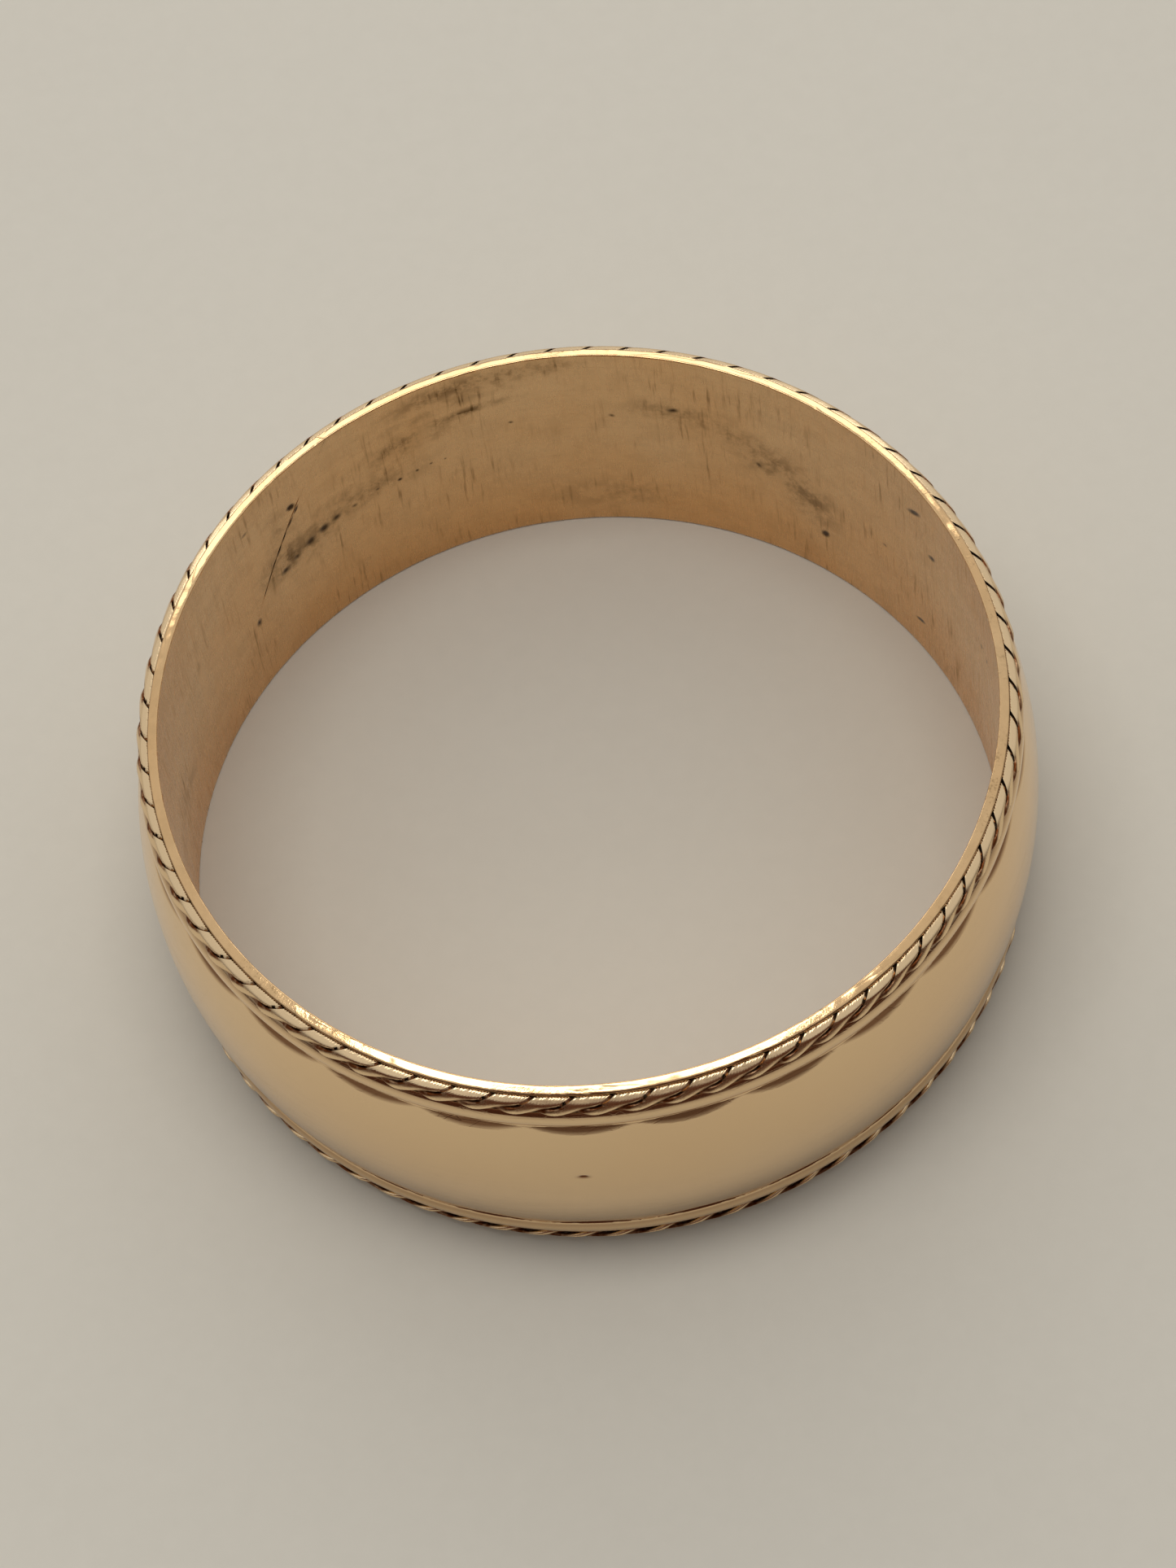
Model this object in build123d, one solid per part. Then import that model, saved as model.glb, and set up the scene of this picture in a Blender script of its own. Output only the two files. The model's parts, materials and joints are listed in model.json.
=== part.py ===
from build123d import *
import math
import os

# Hand-made wedding band: a thin sleeve, a domed band sweated on to it and a twisted wire rope at each rim.
# Millimetres. The finger axis is +Z and the origin lies on it, midway between the two rims.
# Azimuths are in degrees from +X, anticlockwise seen from above.

# Finger size and the width along the finger
bore_radius = 9.10
band_width = 6.80

# The sleeve: a flat strip bent round, its two edges standing clear as thin lips
sleeve_wall = 0.22
lip_inner_round = 0.06

# Hard solder: the film under the dome band and the filled joints
film_gap = 0.02
seam_gap = 0.05

# The ropes: two wires twisted together and closed into a hoop
wire_diameter = 0.15
wire_gap = 0.004
rope_turns = 35
rope_azimuth = -1.7
rope_fit = 0.004
rope_drop = 0.21
spline_points_per_turn = 8

# The solder under each rope: where its hollow ends, as angles from outward round the rope's own section,
# and the number of flats that the hollow is made of
bed_outer_angle = -76.0
bed_inner_angle = -152.0
bed_facets = 6

# The dome band: its thickness, and the ridge that is left at each side of it
dome_thickness = 0.58
dome_shoulder_thickness = 0.235
ridge_width = 0.44
ridge_height = 0.035
ridge_rise = 0.10

# Straight graver cuts, end to end along the foot of each ridge: steep by the ridge, sloping on the dome side,
# and how many times as tall as a cut its cutter is
cut_count = 26
cut_depth = 0.06
cut_ridge_side = 0.04
cut_dome_side = 0.085
cut_set_in = 0.06
cutter_reach = 4

# Where the two strips were closed
sleeve_seam_azimuth = 135.5
sleeve_seam_slant = 35.0
dome_seam_azimuth = 90.0

# Worked out from the sizes above
half_width = band_width / 2
sleeve_radius = bore_radius + sleeve_wall
dome_inner_radius = sleeve_radius + film_gap
dome_foot_radius = dome_inner_radius + dome_shoulder_thickness
dome_radius = dome_inner_radius + dome_thickness
ridge_radius = dome_foot_radius + ridge_height
strand_offset = (wire_diameter + wire_gap) / 2
rope_radius = strand_offset + wire_diameter / 2
rope_centre_radius = sleeve_radius + rope_fit + rope_radius
rope_height = half_width - rope_drop - rope_radius
shoulder_height = rope_height - rope_radius - film_gap
ridge_foot_height = shoulder_height - ridge_width
cut_height = ridge_foot_height - cut_set_in


def turned(section):
    """A section drawn on the XZ plane, turned once round the finger axis."""
    return revolve(section, axis=Axis.Z, revolution_arc=360)


def section_of(lines):
    """The face inside a closed outline on the XZ plane, given as its lines and arcs."""
    return make_face([edge for line in lines for edge in line.edges()])


def gap_cutter(azimuth, slant):
    """A thin slab that crosses one side of the band, as the gap between a strip's two ends."""
    wall = dome_radius - bore_radius
    middle = (bore_radius + dome_radius) / 2
    slab = Box(4 * wall, seam_gap, 3 * band_width)
    slab = Rot(X=slant) * slab
    return Rot(Z=azimuth) * Pos(middle, 0, 0) * slab


def sleeve_ring():
    """The sleeve with its bore eased at both lips, before its joint is cut."""
    ease = lip_inner_round
    lean = ease * (1 - math.sqrt(0.5))
    lines = [Line((sleeve_radius, 0, -half_width), (sleeve_radius, 0, half_width))]
    for end in (1, -1):
        face = end * half_width
        start = (bore_radius, 0, face - end * ease)
        middle = (bore_radius + lean, 0, face - end * lean)
        stop = (bore_radius + ease, 0, face)
        lines += [ThreePointArc(start, middle, stop), Line(stop, (sleeve_radius, 0, face))]
    wall_end = half_width - ease
    lines.append(Line((bore_radius, 0, -wall_end), (bore_radius, 0, wall_end)))
    return turned(section_of(lines))


def dome_outline():
    """The dome band's section: a flat back, two shoulders, two ridges and the dome between them."""
    shoulder = shoulder_height
    foot = ridge_foot_height
    crest_height = shoulder - ridge_width / 2
    crest_start = ridge_radius - ridge_rise
    upper_ridge = ThreePointArc(
        (crest_start, 0, shoulder), (ridge_radius, 0, crest_height), (dome_foot_radius, 0, foot)
    )
    dome = ThreePointArc((dome_foot_radius, 0, foot), (dome_radius, 0, 0), (dome_foot_radius, 0, -foot))
    lower_ridge = ThreePointArc(
        (dome_foot_radius, 0, -foot), (ridge_radius, 0, -crest_height), (crest_start, 0, -shoulder)
    )
    back = Polyline(
        (crest_start, 0, -shoulder),
        (dome_inner_radius, 0, -shoulder),
        (dome_inner_radius, 0, shoulder),
        (crest_start, 0, shoulder),
    )
    return [upper_ridge, dome, lower_ridge, back]


def graver_cut(azimuth, side):
    """One straight V cut beside a ridge: shallow, and as long as the round of the band leaves it."""
    apex = dome_foot_radius - cut_depth
    height = cutter_reach * cut_depth
    length = 2 * math.sqrt(2 * dome_radius * height)
    outline = Polyline(
        (apex, 0, 0),
        (apex + height, 0, side * cutter_reach * cut_ridge_side),
        (apex + height, 0, -side * cutter_reach * cut_dome_side),
        close=True,
    )
    prism = extrude(make_face(outline), amount=length / 2, dir=(0, 1, 0), both=True)
    return Rot(Z=azimuth) * Pos(0, 0, side * cut_height) * prism


def dome_ring():
    """The dome band with its bright cuts, before its joint is cut."""
    ring = turned(section_of(dome_outline()))
    cutters = []
    for side in (1, -1):
        for n in range(cut_count):
            cutters.append(graver_cut(360 * n / cut_count, side))
    return ring.cut(*cutters)


def strand_point(azimuth):
    """Where the middle of a wire lies, and which way it runs, at an azimuth in radians."""
    twist = rope_turns * azimuth
    radius = rope_centre_radius + strand_offset * math.cos(twist)
    growth = -strand_offset * rope_turns * math.sin(twist)
    climb = strand_offset * rope_turns * math.cos(twist)
    outward = Vector(math.cos(azimuth), math.sin(azimuth), 0)
    along = Vector(-math.sin(azimuth), math.cos(azimuth), 0)
    place = outward * radius + Vector(0, 0, strand_offset * math.sin(twist))
    heading = outward * growth + along * radius + Vector(0, 0, climb)
    return place, heading.normalized()


def wire_hoop():
    """One wire of a rope, centred on the XY plane: one twist swept along, and repeated to close the hoop."""
    lay = 2 * math.pi / rope_turns
    stations = [strand_point(lay * n / spline_points_per_turn) for n in range(spline_points_per_turn + 1)]
    places = [place for place, heading in stations]
    path = Spline(*places, tangents=(stations[0][1], stations[-1][1]))
    section = Plane(origin=places[0], z_dir=stations[0][1]) * Circle(wire_diameter / 2)
    twist = sweep(section, path=path)
    twists = [Rot(Z=360 * n / rope_turns) * twist for n in range(rope_turns)]
    return twists[0].fuse(*twists[1:])


def rope_bed(side):
    """The solder that fills the corner under a rope, between the sleeve and the dome band's shoulder."""
    floor = side * shoulder_height
    centre_z = side * rope_height
    bed_radius = rope_radius + rope_fit / 2
    hollow = []
    for n in range(bed_facets + 1):
        angle = math.radians(bed_outer_angle + (bed_inner_angle - bed_outer_angle) * n / bed_facets)
        radius = rope_centre_radius + bed_radius * math.cos(angle)
        hollow.append((radius, 0, centre_z + side * bed_radius * math.sin(angle)))
    outer_radius = hollow[0][0]
    inner_height = hollow[-1][2]
    corner = [(sleeve_radius, 0, inner_height), (sleeve_radius, 0, floor), (outer_radius, 0, floor)]
    return turned(make_face(Polyline(*hollow, *corner, close=True)))


def film():
    """The sweated solder film between the sleeve and the dome band."""
    outline = Polyline(
        (sleeve_radius, 0, -shoulder_height),
        (dome_inner_radius, 0, -shoulder_height),
        (dome_inner_radius, 0, shoulder_height),
        (sleeve_radius, 0, shoulder_height),
        close=True,
    )
    return turned(make_face(outline))


def all_nodes():
    """Every piece of the band under the name of its node."""
    sleeve, dome = sleeve_ring(), dome_ring()
    sleeve_gap = gap_cutter(sleeve_seam_azimuth, sleeve_seam_slant)
    dome_gap = gap_cutter(dome_seam_azimuth, 0)
    nodes = {
        "base_sleeve": sleeve - sleeve_gap,
        "sleeve_seam_solder": sleeve & sleeve_gap,
        "dome_band": dome - dome_gap,
        "dome_seam_solder": dome & dome_gap,
        "dome_solder_film": film(),
    }
    wire = wire_hoop()
    for name, side in (("upper", 1), ("lower", -1)):
        strand = Pos(0, 0, side * rope_height) * Rot(Z=rope_azimuth) * wire
        nodes[f"{name}_rope_strand_a"] = strand
        nodes[f"{name}_rope_strand_b"] = Rot(Z=180 / rope_turns) * strand
        nodes[f"{name}_rope_solder_bed"] = rope_bed(side)
    return nodes


os.makedirs("parts", exist_ok=True)
for node, shape in all_nodes().items():
    shape.label = node
    export_step(shape, f"parts/{node}.step")
    print(node, len(shape.solids()), "solid", round(shape.volume, 3), "mm3")
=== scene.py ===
# %% [markdown]
# # A hand-made wedding band with a rope at each rim
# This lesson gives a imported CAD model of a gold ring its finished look. The CAD model has the sizes and the
# pieces; here each piece is built again with a fine, smooth mesh and given its own metal. The ring is made of
# a thin sleeve that touches the finger, a domed band sweated on to it, and a rope of two twisted wires that
# lies beside the dome at each rim. Hard solder holds them together, and years of wear have marked them all.

import json
import math

import bmesh
import bpy
from mathutils import Matrix, Vector, noise


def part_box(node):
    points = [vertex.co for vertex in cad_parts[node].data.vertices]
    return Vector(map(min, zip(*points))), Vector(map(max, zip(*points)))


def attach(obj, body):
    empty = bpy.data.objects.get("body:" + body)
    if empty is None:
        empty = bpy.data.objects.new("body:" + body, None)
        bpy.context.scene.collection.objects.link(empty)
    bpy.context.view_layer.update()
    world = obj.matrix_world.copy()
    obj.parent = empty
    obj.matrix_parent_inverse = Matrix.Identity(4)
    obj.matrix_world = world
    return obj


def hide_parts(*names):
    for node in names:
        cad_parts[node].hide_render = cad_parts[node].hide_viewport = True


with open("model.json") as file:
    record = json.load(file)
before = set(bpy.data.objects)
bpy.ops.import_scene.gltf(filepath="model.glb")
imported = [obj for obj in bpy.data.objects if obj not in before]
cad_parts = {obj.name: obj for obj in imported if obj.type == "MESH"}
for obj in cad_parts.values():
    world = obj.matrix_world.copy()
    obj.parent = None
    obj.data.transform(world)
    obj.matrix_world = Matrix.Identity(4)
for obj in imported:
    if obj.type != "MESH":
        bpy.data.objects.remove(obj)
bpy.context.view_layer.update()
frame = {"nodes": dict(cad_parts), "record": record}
print("CAD nodes:", sorted(frame["nodes"]))

# %% [markdown]
# ## Sizes
# Blender works in metres, and a ring is small, so the meshes are drawn in millimetres and shrunk at the very
# end. Every size that another piece depends on is read from the CAD node that has it, so nothing has to be
# fitted by eye. Azimuths are in degrees round the finger axis, from +X, anticlockwise seen from above.

# %% Sizes from the frame, in millimetres
MM = 0.001
FINGER_AXIS = (0, 0, 1)
ORIGIN = (0, 0, 0)


def box_mm(node):
    """The lowest and highest corners of a CAD node, in millimetres."""
    low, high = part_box(node)
    return low / MM, high / MM


bore_radius = frame["record"]["mounts"][0]["dims"]["r_mm"]
sleeve_top = box_mm("base_sleeve")[1]
sleeve_radius, half_width = sleeve_top.x, sleeve_top.z
dome_inner_radius = box_mm("dome_solder_film")[1].x
dome_top = box_mm("dome_band")[1]
dome_radius, shoulder_height = dome_top.x, dome_top.z
rope_low, rope_high = box_mm("upper_rope_strand_a")
rope_height = (rope_low.z + rope_high.z) / 2
rope_radius = (rope_high.z - rope_low.z) / 2
rope_centre_radius = rope_high.x - rope_radius
print(f"bore {bore_radius:.2f}, sleeve {sleeve_radius:.2f}, dome {dome_radius:.2f} mm in radius")
print(f"width {2 * half_width:.2f} mm, rope {2 * rope_radius:.3f} mm thick")

# %% [markdown]
# ## Small helpers for the meshes
# Every piece of a ring is a section turned round the finger, so the same few steps come back each time. An
# outline is drawn on the XZ plane, its straight edges are bowed into arcs, the spin operator turns it, and
# open ends are filled. One spin of a whole ring gets slow, because each step looks through everything made so
# far. So only one sector is spun, copies of it are turned round the finger, and the points where two sectors
# meet are merged. After a full turn the last sector meets the first, and the piece is closed.

# %% Drawing an outline and spinning it
# Points closer than this, in millimetres, are one point, and an edge that turns more than this is sharp
MERGE = 0.0005
SHARP = math.radians(42)


def draw_outline(bm, corners):
    """Joins the corners, given as (radius, height), into a closed loop. Returns the loop's edges."""
    verts = [bm.verts.new((radius, 0, height)) for radius, height in corners]
    return [bm.edges.new(pair) for pair in zip(verts, verts[1:] + verts[:1])]


def divide(bm, edge, pieces):
    """Divides an outline's edge into pieces. Returns the new points between them."""
    split = bmesh.ops.subdivide_edges(bm, edges=[edge], cuts=pieces - 1)["geom_inner"]
    return [item for item in split if isinstance(item, bmesh.types.BMVert)]


def bow(bm, edge, pieces, rise, outward):
    """Bends an outline's edge into an arc that stands off its chord by rise, towards the side given."""
    start, end = (vert.co.copy() for vert in edge.verts)
    chord = end - start
    across = chord.cross(Vector((0, 1, 0))).normalized()
    across *= math.copysign(1, across.dot(Vector(outward)))
    arc_radius = (chord.length_squared / 4 + rise * rise) / (2 * rise)
    for vert in divide(bm, edge, pieces):
        along = (vert.co - start).dot(chord) / chord.length - chord.length / 2
        vert.co += across * (math.sqrt(arc_radius**2 - along**2) - (arc_radius - rise))


def ease_corners(bm, corners, radius, segments):
    """Rounds corners of an outline."""
    bmesh.ops.bevel(
        bm, geom=corners, offset=radius, segments=segments, profile=0.5, affect="VERTICES", material=-1
    )


def spin_outline(bm, start, sweep, steps, sectors):
    """Turns an outline round the finger axis, from the azimuth start through sweep degrees."""
    outline = bm.verts[:] + bm.edges[:]
    turn = Matrix.Rotation(math.radians(start), 3, "Z")
    bmesh.ops.rotate(bm, cent=ORIGIN, matrix=turn, verts=bm.verts)
    step = math.radians(sweep / sectors)
    bmesh.ops.spin(bm, geom=outline, cent=ORIGIN, axis=FINGER_AXIS, angle=step, steps=steps // sectors)
    sector = bm.verts[:] + bm.edges[:] + bm.faces[:]
    for n in range(1, sectors):
        copied = bmesh.ops.duplicate(bm, geom=sector)["geom"]
        verts = [item for item in copied if isinstance(item, bmesh.types.BMVert)]
        bmesh.ops.rotate(bm, cent=ORIGIN, matrix=Matrix.Rotation(n * step, 3, "Z"), verts=verts)
    bmesh.ops.remove_doubles(bm, verts=bm.verts, dist=MERGE)
    open_ends = [edge for edge in bm.edges if edge.is_boundary]
    if open_ends:
        bmesh.ops.edgeloop_fill(bm, edges=open_ends)


def azimuth_of(place):
    """The azimuth of a place, in degrees."""
    return math.degrees(math.atan2(place.y, place.x))


def set_radius(vert, radius):
    """Moves a point straight in or out to a distance from the finger axis."""
    scale = radius / vert.co.xy.length
    vert.co.x *= scale
    vert.co.y *= scale


def ramp(value, start, stop):
    """0 up to start, 1 from stop on, and a smooth rise between them."""
    part = min(max((value - start) / (stop - start), 0), 1)
    return part * part * (3 - 2 * part)


# %% Handing a finished mesh over to the scene


def finish_piece(bm, name, stands_for, material):
    """Closes the mesh, shrinks it to metres, and makes it a smooth piece that stands for its CAD node."""
    bmesh.ops.remove_doubles(bm, verts=bm.verts, dist=MERGE)
    bmesh.ops.recalc_face_normals(bm, faces=bm.faces)
    bmesh.ops.scale(bm, vec=(MM, MM, MM), verts=bm.verts)
    for face in bm.faces:
        face.smooth = True
    for edge in bm.edges:
        edge.smooth = edge.calc_face_angle(0) < SHARP
    mesh = bpy.data.meshes.new(name)
    bm.to_mesh(mesh)
    triangles = sum(len(face.verts) - 2 for face in bm.faces)
    bm.free()
    piece = bpy.data.objects.new(name, mesh)
    bpy.context.scene.collection.objects.link(piece)
    piece.data.materials.append(material)
    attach(piece, "root")
    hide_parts(stands_for)
    print(f"{name}: {triangles} triangles")


# %% [markdown]
# ## The metals
# All the gold is one alloy, 9 carat yellow gold, which is paler than pure gold because over half of it is
# silver, copper and zinc. What differs is how each surface was finished: the dome was buffed to a mirror and
# then worn, the bore was only filed and rubbed by the finger, and the ropes hold dirt between their wires.
# Shade and reflection are also painted into the colours: in the hollows of the dome and the ropes, behind the
# lips, on the solder under the ropes, and in the bore.
# A metal's look is its base colour, its roughness and the small bumps that spread its highlights. Patterns
# use Object coordinates, which are metres here, so each scale is one over the real size of its feature.

# %% Helpers for the materials


def colour(code):
    """A colour for a socket, linear, from its sRGB hex code."""
    parts = [int(code[i : i + 2], 16) / 255 for i in (1, 3, 5)]
    return (*[p / 12.92 if p <= 0.04045 else ((p + 0.055) / 1.055) ** 2.4 for p in parts], 1)


def add(tree, kind, settings, inputs):
    """Adds a node. An input is a value, a socket, or a node, which stands for its first output in use."""
    node = tree.nodes.new("ShaderNode" + kind)
    for name, value in settings.items():
        setattr(node, name, value)
    for key, value in inputs.items():
        if isinstance(value, bpy.types.Node):
            value = next(output for output in value.outputs if output.enabled)
        if isinstance(value, bpy.types.NodeSocket):
            tree.links.new(value, node.inputs[key])
        else:
            node.inputs[key].default_value = value
    return node


def new_metal(name, base_hex, roughness):
    """A material with a plain metal's shader, whose default IOR stays. Returns it, its tree and shader."""
    material = bpy.data.materials.new(name)
    material.use_nodes = True
    tree = material.node_tree
    shader = tree.nodes["Principled BSDF"]
    shader.inputs["Base Color"].default_value = colour(base_hex)
    shader.inputs["Metallic"].default_value = 1
    shader.inputs["Roughness"].default_value = roughness
    return material, tree, shader


# Places in a Mix node of colours: the sockets of its other data types come first
MIX_FACTOR, MIX_A, MIX_B = 0, 6, 7


def per_metre(size_mm):
    """The scale at which a pattern's features are that size on Object coordinates."""
    return 1 / (size_mm * MM)


# %% [markdown]
# ### Polished and worn: the dome
# A buffed dome reflects everything round it, so its own pattern must stay very quiet. It has hairline
# scratches that run every way, thin as dust, and a faint cloud of finer wear that dulls the shine in places.
# A scratch is the thin line where a stretched noise crosses its middle value, so a noise that is stretched
# along one direction gives long lines along it. Turning the same pattern gives the other directions.

# %% The scratches


def hairlines(tree, places, length_mm, spacing_mm, lean, width):
    """Thin lines where a stretched noise crosses its middle: 1 on a line and 0 beside it."""
    stretch = (per_metre(length_mm), per_metre(length_mm), per_metre(spacing_mm))
    turned = add(tree, "Mapping", {}, {"Vector": places, "Rotation": lean})
    drawn = add(tree, "Mapping", {}, {"Vector": turned, "Scale": stretch})
    field = add(tree, "TexNoise", {}, {"Vector": drawn, "Scale": 1, "Detail": 1})
    middle = add(tree, "Math", {"operation": "SUBTRACT"}, {0: field, 1: 0.5})
    off_line = add(tree, "Math", {"operation": "ABSOLUTE"}, {0: middle})
    return add(
        tree, "MapRange", {"interpolation_type": "SMOOTHSTEP"},
        {"Value": off_line, "From Min": 0, "From Max": width, "To Min": 1, "To Max": 0},
    )


# %% Worn polished gold


def worn_polished_gold():
    """9 carat gold, buffed and then worn: a soft mirror with hairlines and a faint cloud of fine wear, turned
    red-brown by painted shade in its cuts, on its ridges' flanks and in its nick.
    """
    material, tree, shader = new_metal("gold 9 carat, buffed and worn", "#EED0A7", 0.14)
    places = add(tree, "TexCoord", {}, {}).outputs["Object"]
    cloud = add(tree, "TexNoise", {}, {"Vector": places, "Scale": per_metre(2.5), "Detail": 3})
    dull = add(
        tree, "MapRange", {},
        {"Value": cloud, "From Min": 0.35, "From Max": 0.7, "To Min": 0.11, "To Max": 0.2},
    )
    along = hairlines(tree, places, 6, 0.12, (0.05, 0.04, 0), 0.012)
    across = hairlines(tree, places, 5, 0.3, (1.2, 0.3, 0.4), 0.008)
    slanted = hairlines(tree, places, 4, 0.35, (0.7, -0.5, 1.0), 0.008)
    lines = add(tree, "Math", {"operation": "ADD"}, {0: along, 1: across})
    lines = add(tree, "Math", {"operation": "ADD"}, {0: lines, 1: slanted})
    rough = add(tree, "Math", {"operation": "MULTIPLY_ADD"}, {0: lines, 1: 0.05, 2: dull})
    tree.links.new(rough.outputs[0], shader.inputs["Roughness"])

    tint = add(tree, "TexNoise", {}, {"Vector": places, "Scale": per_metre(6), "Detail": 2})
    tone = add(
        tree, "Mix", {"data_type": "RGBA"},
        {MIX_FACTOR: tint, MIX_A: colour("#F0D3A9"), MIX_B: colour("#ECCBA0")},
    )
    # The mesh's attribute paints shade in red-brown: in the graver cuts, on the flanks of the ridges and in
    # the nick
    dirt_and_shade_mask = add(tree, "Attribute", {"attribute_name": "dirt_and_shade"}, {}).outputs["Fac"]
    toned = add(
        tree, "Mix", {"data_type": "RGBA"},
        {MIX_FACTOR: dirt_and_shade_mask, MIX_A: tone.outputs[2], MIX_B: colour("#6A3A1C")},
    )
    tree.links.new(toned.outputs[2], shader.inputs["Base Color"])

    bump = add(tree, "Bump", {"invert": True}, {"Height": lines, "Strength": 0.25, "Distance": 0.004 * MM})
    tree.links.new(bump.outputs[0], shader.inputs["Normal"])
    return material


dome_gold = worn_polished_gold()
print("made", dome_gold.name)

# %% [markdown]
# ### Filed and rubbed: the bore
# The inside was filed and never polished again, so it is satin, with short scratches across its width from
# being pushed over the knuckle and long ones round it. Sweat and soap have left brown tarnish in a few
# patches, and small pits hold dirt. Among the patches of tarnish, a dark band of reflection along the top at
# the back is painted in as well. Both the mesh and the metal need to know where those marks are, so one
# list serves for the two: where a mark is, how long and wide, how deep, and how dark.

# %% The marks in the bore: (azimuth, height, half length round, half width, lean, depth, darkness)
bore_pits = [
    (128.3, 1.92, 0.15, 0.11, 40, 0.035, 0.9), (131.5, -0.12, 0.16, 0.12, 10, 0.012, 0.6),
    (129.0, -0.02, 0.13, 0.1, 0, 0.01, 0.5), (126.2, 0.12, 0.18, 0.14, -10, 0.014, 0.65),
    (123.6, 0.2, 0.17, 0.15, 20, 0.014, 0.7), (121.2, 0.26, 0.14, 0.1, 0, 0.01, 0.6),
    (118.0, 0.24, 0.09, 0.07, 0, 0.008, 0.45), (114.0, 0.34, 0.06, 0.05, 0, 0.008, 0.45),
    (110.4, 0.27, 0.07, 0.06, 0, 0.012, 0.7), (107.6, 0.31, 0.05, 0.05, 0, 0.012, 0.6),
    (105.4, 0.36, 0.05, 0.04, 0, 0.01, 0.55), (103.2, 0.33, 0.04, 0.04, 0, 0.01, 0.5),
    (93.0, 1.05, 0.07, 0.05, 10, 0.008, 0.5), (78.5, 0.95, 0.09, 0.07, 30, 0.008, 0.45),
    (69.5, 1.35, 0.16, 0.09, -20, 0.012, 0.6), (57.0, -0.05, 0.12, 0.07, 60, 0.01, 0.5),
    (46.5, -1.75, 0.11, 0.16, 25, 0.022, 0.85), (35.0, -0.4, 0.08, 0.06, 0, 0.01, 0.45),
    (28.0, 2.25, 0.3, 0.09, -35, 0.018, 0.8), (24.0, 1.15, 0.17, 0.09, -35, 0.015, 0.7),
    (27.5, -2.2, 0.2, 0.07, -20, 0.015, 0.75), (7.8, 1.2, 0.07, 0.07, 0, 0.015, 0.8),
    (5.3, 1.2, 0.06, 0.07, 0, 0.015, 0.8), (138.5, -0.9, 0.1, 0.16, 0, 0.015, 0.6),
    (137.5, 2.6, 0.12, 0.06, 0, 0.01, 0.45), (127.5, 1.7, 0.05, 0.14, 35, 0.004, 0.8),
    (128.9, 1.42, 0.035, 0.2, 38, 0.004, 0.75), (130.4, 1.12, 0.03, 0.2, 33, 0.004, 0.65),
    (131.9, 0.8, 0.04, 0.18, 36, 0.004, 0.8), (133.3, 0.52, 0.03, 0.16, 35, 0.004, 0.6),
    (134.6, 0.2, 0.03, 0.16, 33, 0.004, 0.55), (136.0, -0.12, 0.03, 0.14, 36, 0.004, 0.5),
]
bore_tarnish_and_reflection = [
    (128.0, 0.1, 1.2, 0.42, 8, 0, 0.42), (117.0, 0.55, 1.4, 0.35, 5, 0, 0.36),
    # The long thin patches at azimuths 97 to 103, from 1.9 to 2.95 mm up, are painted reflection: the dark
    # band that the bore reflects along its top at the back
    (109.0, 1.55, 0.9, 0.3, -6, 0, 0.42), (99.5, 1.9, 0.75, 0.11, -6, 0, 0.62),
    (97.0, 2.95, 2.3, 0.26, -3, 0, 0.5), (103.0, 2.35, 1.4, 0.14, -5, 0, 0.25),
    (54.0, 0.1, 0.9, 0.55, 25, 0, 0.45), (62.0, 1.0, 0.8, 0.4, 20, 0, 0.25),
    (48.0, -0.8, 0.5, 0.7, 0, 0, 0.35), (131.0, 0.9, 0.35, 1.0, 0, 0, 0.3), (71.0, 1.3, 0.6, 0.3, 0, 0, 0.3),
    (80.0, -2.3, 1.2, 0.4, 0, 0, 0.2), (-20.0, 0.6, 1.6, 0.5, 6, 0, 0.3), (-75.0, -0.4, 1.8, 0.4, -6, 0, 0.3),
    (-130.0, 0.9, 1.4, 0.5, 5, 0, 0.3), (170.0, -1.0, 1.2, 0.5, 0, 0, 0.25),
]
print(len(bore_pits), "pits and", len(bore_tarnish_and_reflection), "patches of tarnish and painted reflection")

# %% [markdown]
# A mark in the metal is an ellipse that lies on the bore. A Mapping node of the Texture type turns a place
# into the mark's own frame and divides it by the mark's size, so the edge of the mark is at a distance of 1,
# and a spherical Gradient then fades from 1 in its middle to 0 at that edge.

# %% Filed, rubbed gold for the sleeve


def on_bore(azimuth, height):
    """The place on the bore at an azimuth and height, in millimetres."""
    turn = math.radians(azimuth)
    return Vector((bore_radius * math.cos(turn), bore_radius * math.sin(turn), height))


def marked(tree, places, marks, spread):
    """How dark the marks make each place: the sum of their soft ellipses, each as strong as it is dark."""
    total = None
    for azimuth, height, half_length, half_width_mm, lean, depth, darkness in marks:
        local = add(
            tree, "Mapping", {"vector_type": "TEXTURE"},
            {
                "Vector": places,
                "Location": on_bore(azimuth, height) * MM,
                "Rotation": (math.radians(lean), 0, math.radians(azimuth)),
                "Scale": (0.5 * MM, half_length * spread * MM, half_width_mm * spread * MM),
            },
        )
        patch = add(tree, "TexGradient", {"gradient_type": "SPHERICAL"}, {"Vector": local})
        strong = add(tree, "Math", {"operation": "MULTIPLY"}, {0: patch.outputs["Fac"], 1: darkness})
        if total:
            strong = add(tree, "Math", {"operation": "ADD"}, {0: total, 1: strong})
        total = strong
    return total


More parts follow.
